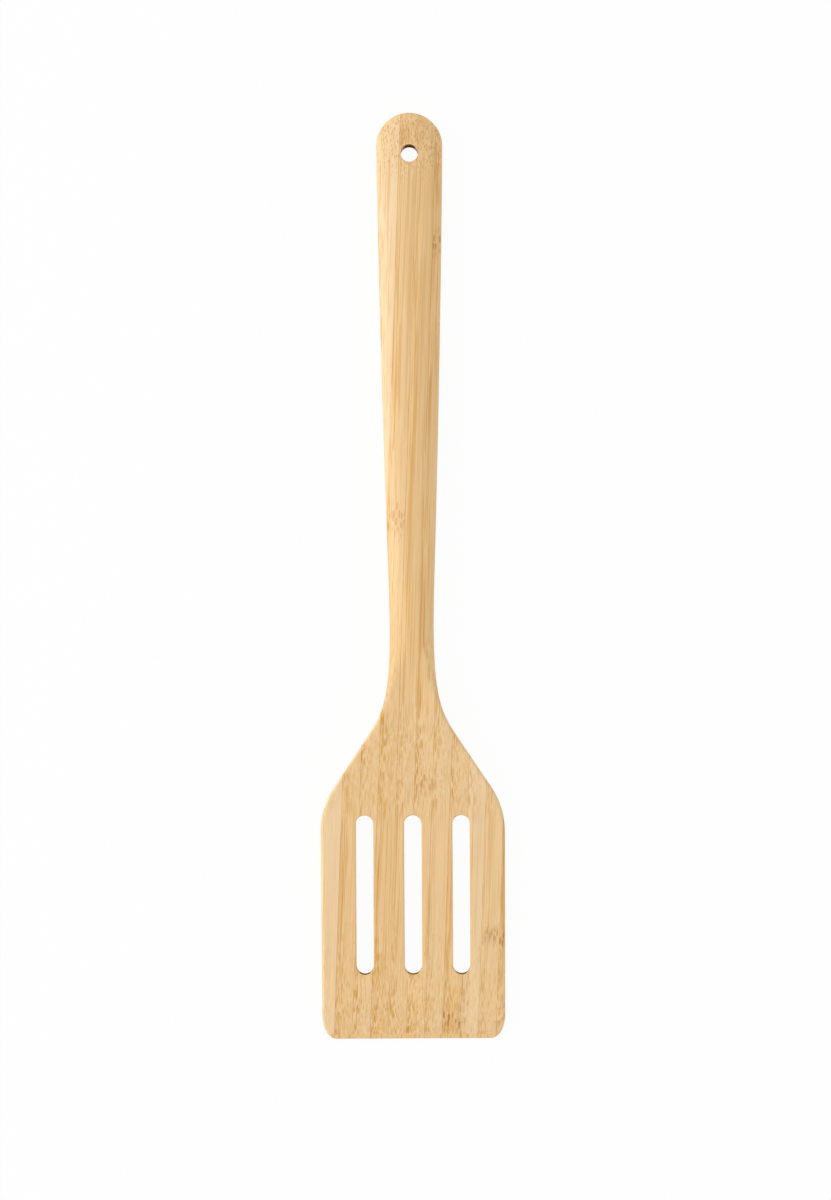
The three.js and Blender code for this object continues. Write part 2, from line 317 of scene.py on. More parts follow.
def strip_edges(left, right):
    """The two columns of a strip at every row, as (low, seam low, seam high, high) in x. The strip lies
    between two leaning lines and the outline. A cut parts it at the seam, which follows the cut's centre
    line and is closed where there is no cut."""
    half = half_width(ROWS)
    low = np.maximum(left + DRIFT * ROWS, -half)
    high = np.maximum(np.minimum(right + DRIFT * ROWS, half), low)
    high = snapped(high, low)
    middle = np.argmin(np.abs(ROWS - (SLOT_LOW + SLOT_HIGH) / 2))
    slot = min(SLOTS, key=lambda cut: abs(cut[0] - (low[middle] + high[middle]) / 2))
    centre = np.interp(ROWS, [slot[2] + CUT_WIDTH, HOLE[1] - CUT_WIDTH], [slot[0], HOLE[0]])
    chord = half_chord(ROWS, *slot[1:]) + half_chord(ROWS, *HOLE[1:])
    seam_low = snapped(snapped(np.clip(centre - chord, low, high), low), high)
    seam_high = snapped(snapped(np.clip(centre + chord, low, high), low), high)
    return low, seam_low, snapped(seam_high, seam_low), high


def wide(width):
    """Which steps between two rows have any width."""
    return np.maximum(width[:-1], width[1:]) > 0


def stretches(alive):
    """Masks of the unbroken stretches of a column."""
    ends = np.flatnonzero(np.diff(np.concatenate([[0], alive.astype(int), [0]]))).reshape(-1, 2)
    steps = np.arange(len(alive))
    return [(steps >= first) & (steps < last) for first, last in ends]


def bodies_of(left_alive, right_alive, opened):
    """The separate bodies of a strip as pairs of masks, one for each column. Stretches of the two columns
    belong together where both have width and the seam between them is closed."""
    bodies = [[stretch, np.zeros_like(stretch)] for stretch in stretches(left_alive)]
    for stretch in stretches(right_alive):
        joined = [body for body in bodies if (body[0] & stretch & ~opened).any()]
        bodies = [body for body in bodies if not any(body is other for other in joined)]
        first = np.any([body[0] for body in joined], axis=0) if joined else np.zeros_like(stretch)
        second = np.any([body[1] for body in joined] + [stretch], axis=0)
        bodies.append([first, second])
    return sorted(bodies, key=lambda body: np.flatnonzero(body[0] | body[1])[0])


def quads(a, b, c, d):
    """Two triangles for each set of four corners, taken round the quad."""
    return np.concatenate([np.stack([a, b, c], axis=-1), np.stack([a, c, d], axis=-1)])


def body_faces(shape, in_left, in_right, opened):
    """Triangles of one body on the grid of its strip: the front and the back of every step of both columns,
    the walls along the edges and along an open seam, and the caps at both ends."""
    rows, columns = shape
    front = np.arange(rows * columns).reshape(shape)
    back = front + rows * columns
    half = columns // 2
    cell = np.zeros((rows - 1, columns - 1), bool)
    cell[:, :half - 1] = in_left[:, None]
    cell[:, half:] = in_right[:, None]
    i, k = np.nonzero(cell)
    made = [
        quads(front[i, k], front[i, k + 1], front[i + 1, k + 1], front[i + 1, k]),
        quads(back[i, k], back[i + 1, k], back[i + 1, k + 1], back[i, k + 1]),
    ]
    for k, mask in ((0, in_left | (in_right & ~opened)), (half, in_right & opened)):
        i = np.flatnonzero(mask)
        made.append(quads(front[i, k], front[i + 1, k], back[i + 1, k], back[i, k]))
    for k, mask in ((columns - 1, in_right | (in_left & ~opened)), (half - 1, in_left & opened)):
        i = np.flatnonzero(mask)
        made.append(quads(front[i, k], back[i, k], back[i + 1, k], front[i + 1, k]))
    k = np.flatnonzero(cell[0])
    made.append(quads(front[0, k], back[0, k], back[0, k + 1], front[0, k + 1]))
    k = np.flatnonzero(cell[-1])
    made.append(quads(front[-1, k], front[-1, k + 1], back[-1, k + 1], back[-1, k]))
    return np.concatenate(made)


def weld(points, triangles):
    """Points at one place become one point, and triangles left without area go."""
    merged, index = np.unique(np.round(points, WELD_DIGITS), axis=0, return_inverse=True)
    corners = index.reshape(-1)[triangles]
    whole = (corners != np.roll(corners, 1, axis=1)).all(axis=1)
    used, corners = np.unique(corners[whole], return_inverse=True)
    return merged[used], corners.reshape(-1, 3)


def volume(points, triangles):
    """Sum of the tetrahedra from the origin to each triangle."""
    a, b, c = (points[triangles[:, i]] for i in range(3))
    return np.einsum("ij,ij->", a, np.cross(b, c)) / 6


def strip_bodies(left, right, steps):
    """The bodies of a strip, as points and triangles: each column of its grid is spaced by cosines, so that
    its points lie closest along its edges."""
    low, seam_low, seam_high, high = strip_edges(left, right)
    share = (1 - np.cos(np.linspace(0, math.pi, steps + 1))) / 2
    x = np.concatenate([
        low[:, None] + (seam_low - low)[:, None] * share,
        seam_high[:, None] + (high - seam_high)[:, None] * share,
    ], axis=1)
    t = np.broadcast_to(ROWS[:, None], x.shape)
    back, front = surfaces(x, t)
    points = np.concatenate([np.stack([x, t, z], axis=-1).reshape(-1, 3) for z in (front, back)])
    opened = wide(seam_high - seam_low)
    for in_left, in_right in bodies_of(wide(seam_low - low), wide(high - seam_high), opened):
        body = weld(points, body_faces(x.shape, in_left, in_right, opened))
        if volume(*body) > LEAST_PIECE_VOLUME:
            yield body


def place_suffix(points):
    """What a body's name ends with by where it lies: nothing for the one from the front edge."""
    first, last = points[:, 1].min(), points[:, 1].max()
    if first < SLOT_SETBACK:
        return ""
    if last < FLARE_END + NECK_LENGTH:
        return "_shoulder"
    return "_end" if first > HOLE_T else "_handle"


# The attribute in which each point keeps its distance to the nearest cut, in millimetres, for the materials
CUT_DISTANCE = "cut_distance"


def add_piece(node, points, triangles, material):
    """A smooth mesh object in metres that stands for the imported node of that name."""
    mesh = bpy.data.meshes.new(node + "_surface")
    mesh.vertices.add(len(points))
    mesh.vertices.foreach_set("co", ((points - (0, LENGTH / 2, 0)) / MM).ravel())
    mesh.loops.add(triangles.size)
    mesh.loops.foreach_set("vertex_index", triangles.ravel())
    mesh.polygons.add(len(triangles))
    mesh.polygons.foreach_set("loop_start", np.arange(0, triangles.size, 3))
    mesh.update(calc_edges=True)
    mesh.shade_smooth()
    mesh.set_sharp_from_angle(angle=SHARP_ANGLE)
    distance = mesh.attributes.new(CUT_DISTANCE, "FLOAT", "POINT")
    distance.data.foreach_set("value", cut_distance(points[:, 0], points[:, 1]))
    mesh.materials.append(material)
    piece = bpy.data.objects.new(node + "_surface", mesh)
    bpy.context.scene.collection.objects.link(piece)
    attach(piece, "root")
    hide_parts(node)


# Grain of the cane, in millimetres. A kind of fibre bundle has its spacing across the grain, its length
# along it, its radius on the pith side of a lath and what that gains on the bark side, both as shares of
# the spacing
WIDE_BUNDLES = (0.85, 70.0, 0.15, 0.17)
NARROW_BUNDLES = (0.5, 55.0, 0.2, 0.16)
HAIR_BUNDLES = (0.36, 40.0, 0.3, 0.0)
PALE_BUNDLES = (0.6, 36.0, 0.28, 0.0)
SCAR_BUNDLES = (0.76, 3.2, 0.44, 0.0)
END_BUNDLES = (0.72, 1.9, 0.33, 0.0)
TIP_BUNDLES = (0.75, 5.0, 0.18, 0.18)
SPECK_BUNDLES = (0.66, 5.0, 0.36, 0.0)
BUNDLE_EDGE = 0.08  # softness of a bundle's edge, as a share of the spacing
BUNDLE_SCATTER = 0.9  # how far the bundles stray from even rows
BARK_REACH = 0.8  # share of a lath over which its bark side fades out
SEED_SHIFT = (3.71, 1.37, 5.13)  # how many cells a seed of 1 shifts a pattern across, along and up
# Cells of slow noise, across and along the grain, and the stretch of its values over which each one rises:
# where bundles are strong, hair lines, pale flecks, tone, thin glue, the ragged ends of a scar
STRENGTH_CELL = (1.3, 22.0)
STRENGTH_RISE = (0.36, 0.58)
LINE_CELL = (0.5, 110.0)
LINE_RISE = (0.5, 0.63)
FLECK_CELL = (1.6, 16.0)
FLECK_RISE = (0.35, 0.6)
TONE_CELL = (2.4, 60.0)
TONE_RISE = (0.25, 0.75)
STARVED_CELL = (3.0, 7.0)
STARVED_RISE = (0.4, 0.65)
RAG_CELL = (0.7, 9.0)
# Detail of the noises
SMOOTH_DETAIL = 1.0
FINE_DETAIL = 2.0
STREAK_DETAIL = 3.0
# How far the fibres wander across and up, over what length, and how wide a band wanders together
WANDER_ACROSS = 0.6
WANDER_UP = 0.9
WANDER_LENGTH = 34.0
WANDER_BAND = 10.0
WANDER_APART = LENGTH  # how far apart in the noise the two ways are read
# How strong the weakest bundles, narrow ones, hairs and hair lines show
WEAK_STRENGTH = 0.4
NARROW_STRENGTH = 0.8
HAIR_STRENGTH = 0.16
LINE_STRENGTH = 0.6
# What is left of the bundles and of the hair lines on the pith side
PITH_STRENGTH = 0.45
LINE_PITH_STRENGTH = 0.5
# A scar's fibres run up to the surface, so they change more slowly with height. Its ends are ragged, it
# fades between these shares of its reach, and the patch between its dashes has a part of their strength
SCAR_UPRIGHT = 0.35
SCAR_RAG = 1.4
SCAR_FADE = (1.6, 0.8)
SCAR_PATCH = 0.14
# Along the neck the bundles calm down to this share of their strength in the blade
HANDLE_CALM = 0.6
HANDLE_CALM_START = (FLARE_END, FLARE_END + NECK_LENGTH)
# Where the handle and the blade thin, the fibres come up in short dashes, with pale specks among them. The
# specks also come and go where the front climbs through the shoulder
END_DASHES_START = (LENGTH - HANDLE_END_TAPER, HOLE_T)
TIP_DASHES_START = (52.0, 24.0)
SHOULDER_SPECKS_START = (BLADE_SIDE_LENGTH, FLARE_END)
SHOULDER_SPECKS_END = (FLARE_END + 2 * HANDLE_RISE_RUN_OUT, FLARE_END)
# Width of the streaks on sanded slants, and the stretch of noise over which one rises
SANDER_STREAK = 1.2
STREAK_RISE = (0.53, 0.67)
# How far a surface must turn along the grain to show slanting cuts, cuts square across the fibres and, on
# the cutter's walls, scorch and painted shade, and how far across the grain to show the flat side of a film
# of glue
SLANT_CUT = (0.35, 0.6)
SQUARE_CUT = (0.72, 0.95)
SCORCH_AND_SHADE_CUT = (0.3, 0.9)
FLAT_SIDE = (0.5, 0.9)
# How far from the wall of a slot or the hole its scorch and painted shade reach, and how far the warm
# painted shade of its rim reaches
SCORCH_AND_SHADE_REACH = 0.25
RIM_SHADE_REACH = 0.9

# Sockets of the Mix node for colours, which share their names with those for numbers and vectors
MIX_SHARE = 0
MIX_FIRST = 6
MIX_SECOND = 7
MIX_RESULT = 2


class NodeTree:
    """Adds nodes to a tree. An input given as a node's output is linked, and any other value is set."""

    def __init__(self, tree):
        self.tree = tree

    def fill(self, node, inputs):
        """Links or sets a node's inputs, given by name or number."""
        for name, value in inputs.items():
            if isinstance(value, bpy.types.NodeSocket):
                self.tree.links.new(value, node.inputs[name])
            else:
                node.inputs[name].default_value = value

    def add(self, kind, inputs, output=0, **settings):
        """Adds a node of that kind and returns one of its outputs."""
        node = self.tree.nodes.new("ShaderNode" + kind)
        for name, value in settings.items():
            setattr(node, name, value)
        self.fill(node, inputs)
        return node.outputs[output]

    def group(self, group, inputs):
        """Places a group and returns its outputs by name."""
        node = self.tree.nodes.new("ShaderNodeGroup")
        node.node_tree = group
        self.fill(node, inputs)
        return node.outputs

    def maths(self, operation, *values, **settings):
        return self.add("Math", dict(enumerate(values)), operation=operation, **settings)

    def ramp(self, value, low, high, from_value=0.0, to_value=1.0):
        """A smooth step from one value at low to another at high."""
        limits = {"From Min": low, "From Max": high, "To Min": from_value, "To Max": to_value}
        return self.add("MapRange", {"Value": value, **limits}, interpolation_type="SMOOTHSTEP")

    def mix(self, share, first, second, blend="MIX"):
        """A share of the second colour blended into the first."""
        colours = {MIX_SHARE: share, MIX_FIRST: first, MIX_SECOND: second}
        return self.add("Mix", colours, output=MIX_RESULT, data_type="RGBA", blend_type=blend)

    def tint(self, mask, strength, under, over):
        """A colour laid over another by a mask, as strongly as given."""
        return self.mix(self.maths("MULTIPLY", mask, strength), under, over)

    def vector(self, x, y, z):
        return self.add("CombineXYZ", {0: x, 1: y, 2: z})

    def noise(self, vector, detail):
        return self.add("TexNoise", {"Vector": vector, "Scale": 1.0, "Detail": detail})

    def stretched(self, place, across, along, seed):
        """A place in the board divided by a cell's size across and along the grain, shifted by a seed."""
        parts = (("Across", across), ("Along", along), ("Up", across))
        shares = [self.maths("DIVIDE", place[way], size) for way, size in parts]
        shifted = [self.maths("MULTIPLY_ADD", seed, step, share) for step, share in zip(SEED_SHIFT, shares)]
        return self.vector(*shifted)


def new_group(name, inputs, outputs):
    """An empty group with number sockets of these names, its inputs and its outputs."""
    tree = bpy.data.node_groups.new(name, "ShaderNodeTree")
    for socket in inputs:
        tree.interface.new_socket(socket, in_out="INPUT", socket_type="NodeSocketFloat")
    for socket in outputs:
        tree.interface.new_socket(socket, in_out="OUTPUT", socket_type="NodeSocketFloat")
    given = tree.nodes.new("NodeGroupInput").outputs
    return NodeTree(tree), given, tree.nodes.new("NodeGroupOutput").inputs


def board_place_group():
    """Millimetres across the board, with the drift of the laths taken off, along it and up from its back."""
    nodes, _, out = new_group("board place", [], ["Across", "Along", "Up"])
    place = nodes.tree.nodes.new("ShaderNodeSeparateXYZ")
    nodes.tree.links.new(nodes.add("TexCoord", {}, output="Object"), place.inputs[0])
    x, y, z = (nodes.maths("MULTIPLY", place.outputs[i], MM) for i in range(3))
    along = nodes.maths("ADD", y, LENGTH / 2)
    across = nodes.maths("SUBTRACT", x, nodes.maths("MULTIPLY", along, DRIFT))
    for name, value in (("Across", across), ("Along", along), ("Up", z)):
        nodes.tree.links.new(value, out[name])
    return nodes.tree


def fibre_bundle_group():
    """Spindles along the grain, 1 inside: cells stretched along it, within a radius of their centres."""
    names = ["Across", "Along", "Up", "Spacing", "Length", "Radius", "Seed"]
    nodes, place, out = new_group("fibre bundles", names, ["Mask"])
    vector = nodes.stretched(place, place["Spacing"], place["Length"], place["Seed"])
    cells = {"Vector": vector, "Scale": 1.0, "Randomness": BUNDLE_SCATTER}
    distance = nodes.add("TexVoronoi", cells, output="Distance")
    inner = nodes.maths("SUBTRACT", place["Radius"], BUNDLE_EDGE)
    outer = nodes.maths("ADD", place["Radius"], BUNDLE_EDGE)
    nodes.tree.links.new(nodes.ramp(distance, inner, outer, 1.0, 0.0), out["Mask"])
    return nodes.tree


def lath_grain_group(board_place, fibre_bundles):
    """The grain of one lath, solid in the board: dark fibre bundles, dense towards the lath's left side,
    where the bark was, and calmer along the handle, hairs, pale flecks between them, pale specks in the
    shoulder and where the board thins, dark dashes there too, and slow changes of tone. The fibres wander
    slowly across and up."""
    outputs = ["Dark", "Hair", "Pale", "Dashes", "Tone", "Along"]
    nodes, given, out = new_group("lath grain", ["Left Edge", "Seed"], outputs)
    board = nodes.group(board_place, {})
    seed = given["Seed"]
    along = nodes.maths("DIVIDE", board["Along"], WANDER_LENGTH)
    band = nodes.maths("DIVIDE", board["Across"], WANDER_BAND)

    def wander(apart, reach):
        line = nodes.vector(seed, along, nodes.maths("ADD", band, apart))
        return nodes.maths("MULTIPLY", nodes.noise(line, SMOOTH_DETAIL), reach)

    place = {
        "Across": nodes.maths("ADD", board["Across"], wander(0.0, WANDER_ACROSS)),
        "Along": board["Along"],
        "Up": nodes.maths("ADD", board["Up"], wander(WANDER_APART, WANDER_UP)),
    }
    share = nodes.maths("DIVIDE", nodes.maths("SUBTRACT", board["Across"], given["Left Edge"]), LATH_PITCH)
    bark = nodes.ramp(share, BARK_REACH, 0.0)

    def noise(cell, detail):
        return nodes.noise(nodes.stretched(place, *cell, seed), detail)

    def bundles(spacing, length, radius, gain):
        sizes = {
            "Spacing": spacing,
            "Length": length,
            "Radius": nodes.maths("MULTIPLY_ADD", bark, gain, radius),
            "Seed": nodes.maths("ADD", seed, spacing),
        }
        return nodes.group(fibre_bundles, {**place, **sizes})["Mask"]

    def stronger_to_bark(pith_strength):
        return nodes.maths("MULTIPLY_ADD", bark, 1 - pith_strength, pith_strength)

    hair = bundles(*HAIR_BUNDLES)
    narrow = nodes.maths("MULTIPLY", bundles(*NARROW_BUNDLES), NARROW_STRENGTH)
    either = nodes.maths("MAXIMUM", bundles(*WIDE_BUNDLES), narrow)
    strength = nodes.ramp(noise(STRENGTH_CELL, FINE_DETAIL), *STRENGTH_RISE, WEAK_STRENGTH, 1.0)
    calm = nodes.ramp(board["Along"], *HANDLE_CALM_START, 1.0, HANDLE_CALM)
    shown = nodes.maths("MULTIPLY", strength, stronger_to_bark(PITH_STRENGTH))
    shown = nodes.maths("MULTIPLY", shown, calm)
    lines = nodes.ramp(noise(LINE_CELL, FINE_DETAIL), *LINE_RISE, 0.0, LINE_STRENGTH)
    lines = nodes.maths("MULTIPLY", lines, stronger_to_bark(LINE_PITH_STRENGTH))
    dark = nodes.maths("MAXIMUM", nodes.maths("MULTIPLY", either, shown), lines)
    flecked = nodes.ramp(noise(FLECK_CELL, SMOOTH_DETAIL), *FLECK_RISE)
    end = nodes.ramp(board["Along"], *END_DASHES_START)
    tip = nodes.ramp(board["Along"], *TIP_DASHES_START)
    at_end = nodes.maths("MULTIPLY", bundles(*END_BUNDLES), end)
    at_tip = nodes.maths("MULTIPLY", bundles(*TIP_BUNDLES), tip)
    flecks = nodes.maths("MULTIPLY", bundles(*PALE_BUNDLES), flecked)
    into_shoulder = nodes.ramp(board["Along"], *SHOULDER_SPECKS_START)
    out_of_shoulder = nodes.ramp(board["Along"], *SHOULDER_SPECKS_END)
    shoulder = nodes.maths("MULTIPLY", into_shoulder, out_of_shoulder)
    speckled = nodes.maths("MAXIMUM", nodes.maths("MAXIMUM", end, tip), shoulder)
    specks = nodes.maths("MULTIPLY", bundles(*SPECK_BUNDLES), speckled)
    made = (
        nodes.maths("MULTIPLY_ADD", hair, HAIR_STRENGTH, dark, use_clamp=True),
        hair,
        nodes.maths("MAXIMUM", flecks, specks),
        nodes.maths("MAXIMUM", at_end, at_tip),
        noise(TONE_CELL, FINE_DETAIL),
        board["Along"],
    )
    for name, value in zip(outputs, made):
        nodes.tree.links.new(value, out[name])
    return nodes.tree


def node_scar_group(board_place, fibre_bundles):
    """The mark of a joint of the cane: a patch within a ragged reach of one place along a lath, and in it
    the dashes of fibres that turn up to the surface."""
    nodes, given, out = new_group("node scar", ["Place", "Reach", "Seed"], ["Mask"])
    board = nodes.group(board_place, {})
    spacing, length, radius, _ = SCAR_BUNDLES
    seed = nodes.maths("ADD", given["Seed"], spacing)
    place = {
        "Across": board["Across"],
        "Along": board["Along"],
        "Up": nodes.maths("MULTIPLY", board["Up"], SCAR_UPRIGHT),
    }
    sizes = {"Spacing": spacing, "Length": length, "Radius": radius, "Seed": seed}
    dashes = nodes.group(fibre_bundles, {**place, **sizes})["Mask"]
    away = nodes.maths("ABSOLUTE", nodes.maths("SUBTRACT", board["Along"], given["Place"]))
    rag = nodes.noise(nodes.stretched(place, *RAG_CELL, seed), SMOOTH_DETAIL)
    ragged = nodes.maths("MULTIPLY_ADD", rag, SCAR_RAG, nodes.maths("DIVIDE", away, given["Reach"]))
    dashed = nodes.maths("MULTIPLY_ADD", dashes, 1 - SCAR_PATCH, SCAR_PATCH)
    nodes.tree.links.new(nodes.maths("MULTIPLY", dashed, nodes.ramp(ragged, *SCAR_FADE)), out["Mask"])
    return nodes.tree


def cut_surface_group(board_place):
    """What the tools left, and painted shade, from the parts of the normal along and across the grain and
    the
    distance to the slots and the hole: Slant on a slanting cut, Streak where the sander streaked it, Square
    on one right across the fibres, Scorched And Shaded on the cutter's walls that cross them, for their
    scorch and the painted shade of the recess, Rim Shade beside the cuts, for painted shade of their rounded
    rims, and
    Flat on the side of a lath."""
    outputs = ["Slant", "Streak", "Square", "Scorched And Shaded", "Rim Shade", "Flat"]
    nodes, _, out = new_group("cut surface", [], outputs)
    board = nodes.group(board_place, {})
    normal = nodes.add("NewGeometry", {}, output="Normal")

    def turned(way):
        part = nodes.add("VectorMath", {0: normal, 1: way}, output="Value", operation="DOT_PRODUCT")
        return nodes.maths("ABSOLUTE", part)

    cut = turned((DRIFT, 1, 0))
    from_cut = nodes.add("Attribute", {}, output="Fac", attribute_name=CUT_DISTANCE)
    across = nodes.maths("DIVIDE", board["Across"], SANDER_STREAK)
    line = {"W": across, "Scale": 1.0, "Detail": STREAK_DETAIL}
    streak = nodes.add("TexNoise", line, noise_dimensions="1D")
    slant = nodes.ramp(cut, *SLANT_CUT)
    made = (
        slant,
        nodes.maths("MULTIPLY", slant, nodes.ramp(streak, *STREAK_RISE)),
        nodes.ramp(cut, *SQUARE_CUT),
        nodes.maths("MULTIPLY", nodes.ramp(cut, *SCORCH_AND_SHADE_CUT), nodes.ramp(from_cut, SCORCH_AND_SHADE_REACH, 0.0)),
        nodes.ramp(from_cut, RIM_SHADE_REACH, 0.0),
        nodes.ramp(turned((1, -DRIFT, 0)), *FLAT_SIDE),
    )
    for name, value in zip(outputs, made):
        nodes.tree.links.new(value, out[name])
    return nodes.tree


BOARD_PLACE = board_place_group()
FIBRE_BUNDLES = fibre_bundle_group()
LATH_GRAIN = lath_grain_group(BOARD_PLACE, FIBRE_BUNDLES)
NODE_SCAR = node_scar_group(BOARD_PLACE, FIBRE_BUNDLES)
CUT_SURFACE = cut_surface_group(BOARD_PLACE)

# Colours of the markings, as shares of linear red, green and blue
FIBRE_BROWN = (0.63, 0.29, 0.035, 1)
# Cream of the pith, for pale flecks and the blade's cream, and also for the painted sheen on the handle's
# lit left flank
PITH_CREAM_AND_SHEEN = (0.88, 0.66, 0.40, 1)
SCAR_BROWN = (0.50, 0.21, 0.04, 1)
WOOD_THROUGH_GLUE = (0.74, 0.48, 0.22, 1)
# Warm painted shade on the rounded rims of the slots and the hole
RIM_SHADE_AMBER = (0.90, 0.54, 0.20, 1)
# Amber of slanting cuts, lightened with painted light where the bevel faces away from the lamps
SLANT_CUT_AND_LIGHT_AMBER = (0.98, 0.62, 0.28, 1)
END_GRAIN_TAN = (0.56, 0.34, 0.14, 1)
# Scorch on the cutter's walls, darkened further with painted shade of the slots and the hole
SCORCH_AND_SHADE_BROWN = (0.27, 0.14, 0.05, 1)
# How strongly each marking covers the colour under it
FIBRE_COVER = 0.95
FLECK_COVER = 0.6
DASH_COVER = 0.58
SLANT_CUT_AND_LIGHT_COVER = 0.5
STREAK_COVER = 0.55
RIM_SHADE_COVER = 0.45
END_GRAIN_COVER = 0.6
SCORCH_AND_SHADE_COVER = 0.75
# Oil
OIL_COAT = 0.7
OIL_GONE = 0.6  # squareness of a cut that has drunk it all
OIL_ROUGHNESS = 0.4
SHEEN = 0.027  # white that the oil adds to the colour under it
# Wood and glue
TONE_RANGE = (1.03, 1.13)  # darkest and lightest tone beside a lath's own
BAMBOO_ROUGHNESS = (0.5, 0.62)  # between the fibres and on them
GLUE_ROUGHNESS = (0.42, 0.6)  # where full and where starved
HAIR_RELIEF = 0.25
HAIR_DEPTH = 0.00006  # metres
STARVED_SEED = 1.0
BEHIND_SEED = 0.0  # of the grain behind the glue
BEHIND_LEFT = -BLADE_WIDTH  # so far left that the grain there has no bark side
# Laths from left to right: how light each is beside the colour of its slot, how strong its fibres are, its
# share of cream at the tip and in the blade, and its share of painted sheen in the handle, on its lit left
# flank
LATH_TONES = (
    (0.99, 0.4, 0.0, 0.25, 0.0),
    (1.03, 0.9, 0.15, 0.26, 0.8),
    (1.03, 1.0, 0.25, 0.2, 0.8),
    (1.04, 1.12, 0.0, 0.22, 0.35),
    (1.01, 1.0, 0.1, 0.22, 0.0),
    (1.04, 1.12, 0.05, 0.22, 0.0),
    (1.01, 0.8, 0.1, 0.28, 0.0),
    (1.04, 0.9, 0.0, 0.36, 0.0),
    (1.0, 0.7, 0.0, 0.1, 0.0),
    (1.02, 0.7, 0.15, 0.3, 0.0),
    (1.06, 0.9, 0.4, 0.25, 0.0),
)
# Where along the laths the cream of the blade comes and goes, and where the painted sheen on the handle's
# lit left flank comes
BLADE_CREAM_START = (15.0, 45.0)
BLADE_CREAM_END = (145.0, 115.0)
FLANK_SHEEN_START = (120.0, 170.0)
# Joints of the cane: the lath's number, the place and reach of the mark along it, and how strong it is
NODE_SCARS = (
    (4, 180.0, 11.0, 0.5),
    (4, 312.0, 7.0, 0.35),
    (6, 88.0, 6.0, 0.52),
    (6, 275.0, 7.0, 0.75),
    (8, 6.5, 7.5, 0.95),
    (10, 36.0, 5.0, 0.6),
    (11, 35.0, 6.5, 0.9),
)


def lath_colour(nodes, number, colour, grain):
    """The colour of a planed lath: its slot's colour in slow tones, cream by place, painted sheen on the
    handle's lit left flank, flecks, fibres and scars."""
    light, fibres, tip_cream, blade_cream, painted_flank_sheen = LATH_TONES[number - 1]
    shade = nodes.ramp(grain["Tone"], *TONE_RISE, *(light * end for end in TONE_RANGE))
    under_oil = [max(part - SHEEN, 0) for part in colour[:3]] + [1]
    made = nodes.mix(1.0, under_oil, nodes.add("CombineColor", {0: shade, 1: shade, 2: shade}), "MULTIPLY")
    on_blade = nodes.ramp(grain["Along"], *BLADE_CREAM_START, tip_cream, blade_cream)
    before_handle = nodes.ramp(grain["Along"], *BLADE_CREAM_END)
    made = nodes.mix(nodes.maths("MULTIPLY", on_blade, before_handle), made, PITH_CREAM_AND_SHEEN)
    # Painted sheen: laths on the handle's lit left flank pale towards cream
    if painted_flank_sheen:
        flank_sheen_share = nodes.ramp(grain["Along"], *FLANK_SHEEN_START, 0.0, painted_flank_sheen)
        made = nodes.mix(flank_sheen_share, made, PITH_CREAM_AND_SHEEN)
    made = nodes.tint(grain["Pale"], FLECK_COVER, made, PITH_CREAM_AND_SHEEN)
    made = nodes.tint(grain["Dark"], FIBRE_COVER * fibres, made, FIBRE_BROWN)
    made = nodes.tint(grain["Dashes"], DASH_COVER * fibres, made, FIBRE_BROWN)
    for lath, place, reach, strength in NODE_SCARS:
        if lath == number:
            scar = nodes.group(NODE_SCAR, {"Place": place, "Reach": reach, "Seed": float(number)})["Mask"]
            made = nodes.tint(scar, strength, made, SCAR_BROWN)
    return made


def bamboo_material(number, colour, left):
    """Oiled bamboo of one lath: planed colour, warm painted shade on the rims of the cuts, amber on slanting
    cuts lightened with painted light, darker where cut across, scorch and painted shade on the cutter's
    walls, satin, with a fibrous relief."""
    material = bpy.data.materials.new(f"bamboo_lath_{number:02d}")
    material.use_nodes = True
    nodes = NodeTree(material.node_tree)
    shader = nodes.tree.nodes["Principled BSDF"]
    grain = nodes.group(LATH_GRAIN, {"Left Edge": left, "Seed": float(number)})
    surface = nodes.group(CUT_SURFACE, {})
    made = lath_colour(nodes, number, colour, grain)
    # Painted shade: a warm band along the rounded rims of the cuts
    made = nodes.tint(surface["Rim Shade"], RIM_SHADE_COVER, made, RIM_SHADE_AMBER)
    # Slanting cuts in amber, partly painted light that lightens the bevel
    made = nodes.tint(surface["Slant"], SLANT_CUT_AND_LIGHT_COVER, made, SLANT_CUT_AND_LIGHT_AMBER)
    made = nodes.tint(surface["Streak"], STREAK_COVER, made, FIBRE_BROWN)
    made = nodes.tint(surface["Square"], END_GRAIN_COVER, made, END_GRAIN_TAN)
    # Scorch and painted shade darken the walls of the slots and the hole
    made = nodes.tint(surface["Scorched And Shaded"], SCORCH_AND_SHADE_COVER, made, SCORCH_AND_SHADE_BROWN)
    hairs = {"Height": grain["Hair"], "Strength": HAIR_RELIEF, "Distance": HAIR_DEPTH}
    nodes.fill(shader, {
        "Base Color": made,
        "Roughness": nodes.ramp(grain["Dark"], 0.0, 1.0, *BAMBOO_ROUGHNESS),
        "Specular IOR Level": 0.0,
        "Coat Weight": nodes.ramp(surface["Square"], 0.0, OIL_GONE, OIL_COAT, 0.0),
        "Coat Roughness": OIL_ROUGHNESS,
        "Normal": nodes.add("Bump", hairs, invert=True),
    })
    return material


